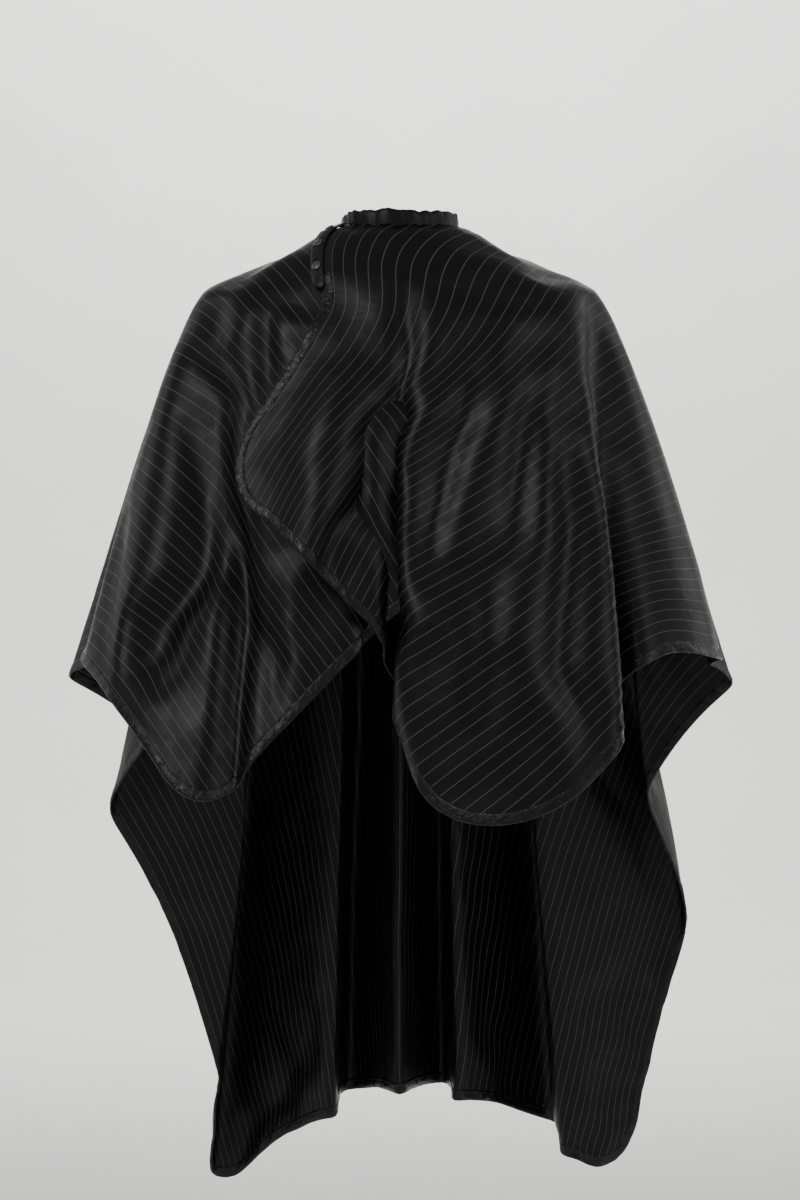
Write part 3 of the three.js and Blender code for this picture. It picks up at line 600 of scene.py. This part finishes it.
def snap_metal(name):
    """Blackened brass snaps, rubbed brighter in places, with fine scratches."""
    made, tree, shader = new_material(name)
    place = node(tree, "ShaderNodeTexCoord").outputs["Object"]
    rub = node(tree, "ShaderNodeTexNoise", {"Vector": place, "Scale": 320.0, "Detail": 4.0}).outputs["Fac"]
    scratch = node(tree, "ShaderNodeTexNoise",
        {"Vector": place, "Scale": 1800.0, "Detail": 2.0, "Distortion": 2.0}).outputs["Fac"]
    colour = node(tree, "ShaderNodeMix", {0: rub, 6: linear("5c5b59"), 7: linear("a6a4a0")},
        data_type="RGBA").outputs[2]
    tree.links.new(colour, shader.inputs["Base Color"])
    shader.inputs["Metallic"].default_value = 1.0
    rough = node(tree, "ShaderNodeMapRange", {0: rub, 1: 0.3, 2: 0.7, 3: 0.38, 4: 0.22}).outputs[0]
    tree.links.new(rough, shader.inputs["Roughness"])
    bump = node(tree, "ShaderNodeBump", {"Height": scratch, "Strength": 0.15, "Distance": 0.0002})
    tree.links.new(bump.outputs[0], shader.inputs["Normal"])
    return made


def knitted_elastic(name):
    """Black ribbed elastic: dull, with fine ribs across it."""
    made, tree, shader = new_material(name)
    uv = node(tree, "ShaderNodeUVMap", uv_map="strip")
    rib = node(tree, "ShaderNodeTexWave",
        {"Vector": uv.outputs[0], "Scale": 260.0, "Distortion": 0.5}).outputs["Fac"]
    colour = node(tree, "ShaderNodeMix", {0: rib, 6: linear("141413"), 7: linear("2b2a29")},
        data_type="RGBA").outputs[2]
    tree.links.new(colour, shader.inputs["Base Color"])
    shader.inputs["Roughness"].default_value = 0.85
    bump = node(tree, "ShaderNodeBump", {"Height": rib, "Strength": 0.5, "Distance": 0.0004})
    tree.links.new(bump.outputs[0], shader.inputs["Normal"])
    return made


def pale_ground(name):
    """Matt studio paper, very slightly uneven."""
    made, tree, shader = new_material(name)
    place = node(tree, "ShaderNodeTexCoord").outputs["Object"]
    grain = node(tree, "ShaderNodeTexNoise", {"Vector": place, "Scale": 3.0, "Detail": 5.0}).outputs["Fac"]
    colour = node(tree, "ShaderNodeMix", {0: grain, 6: linear("e9e8e6"), 7: linear("f2f1ef")},
        data_type="RGBA").outputs[2]
    tree.links.new(colour, shader.inputs["Base Color"])
    shader.inputs["Roughness"].default_value = 0.9
    return made


CLOTH_MATERIAL = satin("pinstriped satin", "080707", "OFBake", FLAT_SIZE[1], True)
PLAIN_SATIN = satin("plain satin", "100f0f", "strip", 1.0, False)
BINDING = binding_tape("satin binding")
SNAP = snap_metal("snap metal")
ELASTIC = knitted_elastic("knitted elastic")
GROUND = pale_ground("studio paper")

# ---------- drape the cloth ----------
flat, faces = flat_mesh()
start = worn(flat)
rest = settle(flat, faces, start)
moved = rest - start
faces, (flat, moved) = finer(flat, faces, moved)
moved = smoothed(moved, faces, 3)
points = worn(flat) + moved
normals = point_normals(points, faces)
level = points * [1, 1, 0]
if (normals * level).sum() < 0:
    faces = faces[:, ::-1]
    normals = -normals

# Small gathers where the cloth is sewn into the neckband.
ring = np.hypot(flat[:, 0], flat[:, 1]) - NECK_CUT
bearing = np.arctan2(flat[:, 0], -flat[:, 1])
gather = 0.0012 * np.sin(bearing * 34 + 3 * np.sin(bearing * 5)) * (1 - ease(ring, 0.004, 0.055))
points = points + normals * gather[:, None]
normals = point_normals(points, faces)


def cloth_piece(name, chosen, *nodes):
    """The thick cloth of the chosen faces, with the normals of the whole cape."""
    mine = faces[chosen]
    used, local = np.unique(mine, return_inverse=True)
    local = local.reshape(-1, 3)
    n = len(used)
    top, bottom = points[used] + normals[used] * CLOTH / 2, points[used] - normals[used] * CLOTH / 2
    sides = np.concatenate([local[:, [0, 1]], local[:, [1, 2]], local[:, [2, 0]]])
    keys = {tuple(e) for e in sides.tolist()}
    rim = [(b, a, a + n, b + n) for a, b in keys if (b, a) not in keys]
    all_faces = [tuple(f) for f in local.tolist()] + [tuple(f) for f in (local[:, ::-1] + n).tolist()] + rim
    uv = (flat[used] + [HALF_WIDTH, BACK_LENGTH]) / FLAT_SIZE[1]
    piece = new_object(name, np.concatenate([top, bottom]), all_faces, CLOTH_MATERIAL,
                       np.concatenate([normals[used], -normals[used]]), np.concatenate([uv, uv]))
    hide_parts(*nodes)
    return piece


middle = flat[faces].mean(1)
around = np.degrees(np.abs(np.arctan2(middle[:, 0], -middle[:, 1])))
in_back = around < BACK_PIECE
outer_back = cloth_piece("outer_back_panel", in_back & (middle[:, 0] > 0), "outer_back_cloth",
    "outer_flap_cloth")
inner_back = cloth_piece("inner_back_panel", in_back & (middle[:, 0] < 0), "inner_back_cloth",
    "inner_flap_cloth")
front = cloth_piece("front_and_sides", ~in_back, "right_side_cloth", "left_side_cloth", "front_cloth")

# ---------- places on the hung cloth ----------
TREES = {}
for way in (1, -1):
    half = faces[middle[:, 0] * way > 0]
    TREES[way] = (half, BVHTree.FromPolygons([(p[0], p[1], 0) for p in flat], half.tolist()))


def on_cloth(way, spots):
    """Places and normals of flat points on one half of the hung cloth."""
    half, tree = TREES[way]
    where, facing = np.zeros((len(spots), 3)), np.zeros((len(spots), 3))
    for i, (u, v) in enumerate(spots):
        near, _, index, _ = tree.find_nearest((u, v, 0))
        corners = half[index]
        a, b, c = flat[corners]
        m = np.array([b - a, c - a]).T
        s, t = np.linalg.solve(m, np.array(near[:2]) - a)
        w = np.array([1 - s - t, s, t])
        where[i] = w @ points[corners]
        facing[i] = w @ normals[corners]
    return where, facing / np.linalg.norm(facing, axis=1, keepdims=True)


def unit(x):
    return x / np.maximum(np.linalg.norm(x, axis=-1, keepdims=True), 1e-9)


# ---------- binding ----------
# Its section: distance in from the cloth's edge, and height off the cloth's middle, in millimetres.
SECTION = [(12, 0.75), (11, 1.15), (8, 1.35), (4, 1.45), (1, 1.35), (-0.6, 0.8), (-1.0, 0.0),
           (-0.6, -0.8), (1, -1.35), (4, -1.45), (8, -1.35), (11, -1.15), (12, -0.75)]


def binding(name, way, low, high, *nodes):
    """Binding along the hem of one half, between two bearings of the flat pattern."""
    edge = half_outline(0.004)
    length = np.concatenate([[0], np.cumsum(np.linalg.norm(np.diff(edge, axis=0), axis=1))])
    direction = unit(np.gradient(edge, axis=0))
    inward = np.stack([-direction[:, 1], direction[:, 0]], 1)
    bearing = np.degrees(np.arctan2(edge[:, 0], -edge[:, 1]))
    keep = (bearing >= low) & (bearing <= high)
    edge, inward, length = edge[keep], inward[keep], length[keep]
    mirror = np.array([way, 1])
    rows = {}
    for inset in (0.0, 0.001, 0.004, 0.008, 0.011, 0.012):
        rows[inset] = on_cloth(way, (edge + inward * max(inset, 0.0003)) * mirror)
    outward = unit(rows[0.0][0] - rows[0.004][0])
    rings, uv = [], []
    for k, (a, b) in enumerate(SECTION):
        a, b = a / 1000, b / 1000
        if a < 0:
            place, facing = rows[0.0][0] + outward * -a, rows[0.0][1]
        else:
            place, facing = rows[a]
        diagonal = length + a * (1.2 if b > 0 else -1.2)
        pucker = wobble(diagonal, way, (0.0105, 0.0172, 0.031)) * 0.0008 * (1 if 0 < a < 0.0115 else 0.5)
        rings.append(place + facing * (b + math.copysign(1, b) * pucker * (abs(b) > 0))[:, None])
        uv.append(np.stack([length, np.full_like(length, a)], 1))
    made = sweep(name, np.stack(rings, 1), BINDING, np.stack(uv, 1))
    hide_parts(*nodes)
    return made


# Bearings in degrees: the whole range, and how far two runs overlap.
SLIT_SIDE, FRONT_MIDDLE, OVERLAP = -1, 181, 0.3
outer_binding = binding("outer_back_binding", 1, SLIT_SIDE, BACK_PIECE,
                        "outer_slit_binding", "outer_flap_binding", "outer_hem_binding")
inner_binding = binding("inner_back_binding", -1, SLIT_SIDE, BACK_PIECE,
                        "inner_slit_binding", "inner_flap_binding", "inner_hem_binding")
right_binding = binding("right_front_binding", 1, BACK_PIECE - OVERLAP, FRONT_MIDDLE,
                        "right_hem_binding", "front_hem_binding")
left_binding = binding("left_front_binding", -1, BACK_PIECE - OVERLAP, FRONT_MIDDLE, "left_hem_binding")

# ---------- neckband with its elastic ----------
turns = np.linspace(0.8, 180, 260)
neck_flat = NECK_CUT * np.stack([np.sin(np.radians(turns)), -np.cos(np.radians(turns))], 1)
right_place, _ = on_cloth(1, neck_flat)
left_place, _ = on_cloth(-1, neck_flat * [-1, 1])
path = np.concatenate([right_place, left_place[:-1][::-1]])
run = np.concatenate([[0], np.cumsum(np.linalg.norm(np.diff(path, axis=0), axis=1))])
radial = unit(path * [1, 1, 0])
up = np.array([0, 0, 1.0])
raised = 0.0020 * np.exp(-(((path[:, 0] + 0.012) / 0.020) ** 4)) * (path[:, 1] < 0)
ends = ease(run, 0, 0.004) * (1 - ease(run, run[-1] - 0.004, run[-1]))


def band(name, section, material, ruche, *nodes):
    """A strip round the neck. Its section is given as (outward, up) in millimetres from the seam."""
    rings, uv = [], []
    around_section = 0.0
    for k, (a, b) in enumerate(section):
        share = max(b, 0) / 14
        crimp = wobble(run + 0.0006 * b, 0.4, (0.0061, 0.0088, 0.0139)) * ruche
        lift = b / 1000 + share * (raised + 0.7 * ruche * wobble(run, 2.2, (0.0072, 0.0115)))
        out = a / 1000 * (0.35 + 0.65 * ends) + math.copysign(1, a) * crimp
        rings.append(path + radial * out[:, None] + up * lift[:, None])
        uv.append(np.stack([run, np.full_like(run, around_section)], 1))
        around_section += 0.003
    made = sweep(name, np.stack(rings, 1), material, np.stack(uv, 1))
    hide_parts(*nodes)
    return made


SHELL = [(2.4, -5), (2.6, -1), (2.9, 3), (3.0, 8), (2.6, 12), (1.2, 14), (-0.4, 13.6), (-1.3, 11.5), (-1.6, 7),
    (-1.5, 2), (-1.2, -2), (-0.2, -5)]
neckband = band("neckband", SHELL, PLAIN_SATIN, 0.00035, "neckband_shell")
elastic = band("neck_elastic", [(1.2, 5.5), (1.2, 9.5), (0.2, 9.5), (0.2, 5.5)], ELASTIC, 0.0,
    "neckband_elastic")

# ---------- closure strap and snaps ----------
rows = np.linspace(STRAP_START, STRAP_END, 60)
spots = np.stack([np.full_like(rows, SLIT_HALF), -(NECK_CUT + rows)], 1)
edge_place, edge_facing = on_cloth(1, spots)
inner_spot, _ = on_cloth(1, spots + [0.012, 0])
beyond = unit(edge_place - inner_spot)
strap_lift = BINDING_HALF + 0.0005 + STRAP_HALF


def on_strap(across, lift):
    """The line down the strap at a distance across from its middle, lifted off it."""
    out = -(STRAP_MIDDLE + across)
    bend = -0.9 * np.maximum(out, 0) ** 2 / 0.060
    return edge_place + beyond * np.asarray(out)[...,
        None] + edge_facing * np.asarray(strap_lift + lift + bend)[..., None]


left_over = STRAP_END - rows
round_end = np.sqrt(np.maximum((STRAP_WIDTH / 2) ** 2 - (STRAP_WIDTH / 2 - left_over) ** 2, 1e-8))
half_wide = np.where(left_over < STRAP_WIDTH / 2, round_end, STRAP_WIDTH / 2)
half_wide = np.maximum(half_wide, 0.002)
STRAP_EDGE = 0.94       # share of the strap's half width where its edge starts to round
section = [(s, 1.0) for s in np.linspace(-STRAP_EDGE, STRAP_EDGE, 9)] + [(1.0, 0.0)]
section += [(s, -1.0) for s in np.linspace(STRAP_EDGE, -STRAP_EDGE, 9)] + [(-1.0, 0.0)]
rings, uv = [], []
for s, b in section:
    pucker = 0.00018 * wobble(rows + 0.002 * s, 1.1, (0.009, 0.016))
    seam = -0.00025 * np.exp(-(((abs(s) - 0.78) / 0.06) ** 2))
    rings.append(on_strap(half_wide * s, b * (STRAP_HALF + seam) + pucker))
    uv.append(np.stack([rows, (1 - abs(s)) * half_wide + 0.0075], 1))
strap = sweep("closure_strap", np.stack(rings, 1), BINDING, np.stack(uv, 1))
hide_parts("closure_strap_tape")


def turned(name, centre, axis, outline, *nodes, sides=40):
    """A round piece turned about an axis. Its outline is given as (radius, height) in millimetres."""
    axis = Vector(axis).normalized()
    one = axis.orthogonal().normalized()
    two = axis.cross(one)
    rings = []
    for r, h in outline:
        angles = np.linspace(0, 2 * math.pi, sides, endpoint=False)
        rings.append([Vector(centre) + axis * (h / 1000) + (one * math.cos(a) + two * math.sin(a)) * (max(r,
            0.02) / 1000) for a in angles])
    made = sweep(name, np.array([[tuple(p) for p in ring] for ring in rings]), SNAP)
    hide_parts(*nodes)
    return made


CAP = [(0, -1.9), (1.3, -1.9), (1.3, 1.2), (4.6, 1.2), (5.15, 1.35), (5.2, 1.6), (4.9, 2.0), (4.3, 2.15),
    (4.0, 2.05), (3.7, 2.1), (2.6, 2.55), (1.3, 2.78), (0, 2.85)]
SOCKET = [(1.8, -1.5), (4.2, -1.5), (4.6, -1.8), (4.6, -3.2), (4.2, -3.6), (2.5, -3.6), (2.35, -3.3),
    (2.35, -2.2), (1.8, -2.1), (1.8, -1.5)]
STUD = [(0, -2.9), (1.5, -2.9), (1.9, -3.2), (1.6, -4.6), (4.0, -4.8), (4.4, -5.1), (4.3, -5.5), (0, -5.5)]
POST = [(0, -7.0), (1.2, -7.0), (1.3, -7.3), (4.2, -7.4), (4.4, -7.7), (4.0, -8.1), (0, -8.2)]
snap_pieces = []
for number, down in enumerate(SNAP_DOWN, 1):
    k = int(np.argmin(np.abs(rows - down)))
    centre = on_strap(np.zeros_like(rows), np.zeros_like(rows))[k]
    flat_line = np.zeros_like(rows)
    over = on_strap(flat_line + 0.003, flat_line)[k] - on_strap(flat_line - 0.003, flat_line)[k]
    axis = unit(np.cross(over, edge_place[min(k + 1, len(rows) - 1)] - edge_place[k - 1]))
    axis = axis * np.sign(axis @ edge_facing[k])
    cap = turned(f"snap_cap_{number}_dome", centre, axis, CAP, f"snap_cap_{number}")
    socket = turned(f"snap_socket_{number}_ring", centre, axis, SOCKET, f"snap_socket_{number}")
    stud = turned(f"snap_stud_{number}_head", centre, axis, STUD, f"snap_stud_{number}")
    post = turned(f"snap_post_{number}_plate", centre, axis, POST, f"snap_post_{number}")
    snap_pieces += [(cap, "closure_strap"), (socket, "closure_strap"), (stud, "cape"), (post, "cape")]

# ---------- what moves with what ----------
for piece in (front, right_binding, left_binding, neckband, elastic):
    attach(piece, "cape")
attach(strap, "closure_strap")
for piece, body in snap_pieces:
    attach(piece, body)
# The two back pieces and their bindings keep the places they hang in; their placing is baked into their points.
for piece in (outer_back, outer_binding):
    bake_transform(piece)
for piece in (inner_back, inner_binding):
    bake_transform(piece)

# ---------- floor, light and camera ----------
profile = [(-7.0, 0.0), (5.0, 0.0)]
profile += [(5.0 + 1.5 * math.sin(rad(a)), 1.5 - 1.5 * math.cos(rad(a))) for a in range(5, 91, 5)]
profile += [(6.5, 7.0)]
ground_points = [(x, y, FLOOR_Z + z) for y, z in profile for x in (-7, 7)]
ground_faces = [(2 * i, 2 * i + 1, 2 * i + 3, 2 * i + 2) for i in range(len(profile) - 1)]
ground = new_object("studio_floor", ground_points, ground_faces, GROUND)


def soft_light(name, place, aim, size, power):
    light = bpy.data.lights.new(name, "AREA")
    light.shape = "RECTANGLE"
    light.size, light.size_y = size
    light.energy = power
    lamp = bpy.data.objects.new(name, light)
    bpy.context.scene.collection.objects.link(lamp)
    lamp.location = place
    lamp.rotation_euler = (Vector(aim) - Vector(place)).to_track_quat("-Z", "Y").to_euler()


LIGHTS = [
    ("key_light", (-1.9, -2.6, 1.3), (0, 0, -0.35), (1.2, 1.8), 27),
    ("fill_light", (2.4, -2.2, 0.6), (0, 0, -0.5), (1.6, 2.2), 14),
    ("left_rim_light", (-2.3, 0.9, 0.2), (0, 0, -0.45), (0.8, 2.4), 6),
    ("right_rim_light", (2.3, 0.9, 0.2), (0, 0, -0.45), (0.8, 2.4), 9),
    ("backdrop_light", (0, 3.9, 2.6), (0, 6.5, -0.6), (5.0, 0.8), 330),
]
for light in LIGHTS:
    soft_light(*light)
world = bpy.data.worlds.new("studio")
world.use_nodes = True
world.node_tree.nodes["Background"].inputs[0].default_value = (0.95, 0.96, 1.0, 1)
world.node_tree.nodes["Background"].inputs[1].default_value = 0.22
bpy.context.scene.world = world

VIEW_DISTANCE, VIEW_HEIGHT, VIEW_TALL = 3.3, -0.40, 1.308
camera_data = bpy.data.cameras.new("camera")
camera_data.sensor_fit = "VERTICAL"
camera_data.sensor_height = 24
camera_data.lens = 24 * VIEW_DISTANCE / VIEW_TALL
camera = bpy.data.objects.new("camera", camera_data)
bpy.context.scene.collection.objects.link(camera)
camera.location = (0, -VIEW_DISTANCE, VIEW_HEIGHT)
camera.rotation_euler = (rad(90), 0, 0)
bpy.context.scene.camera = camera
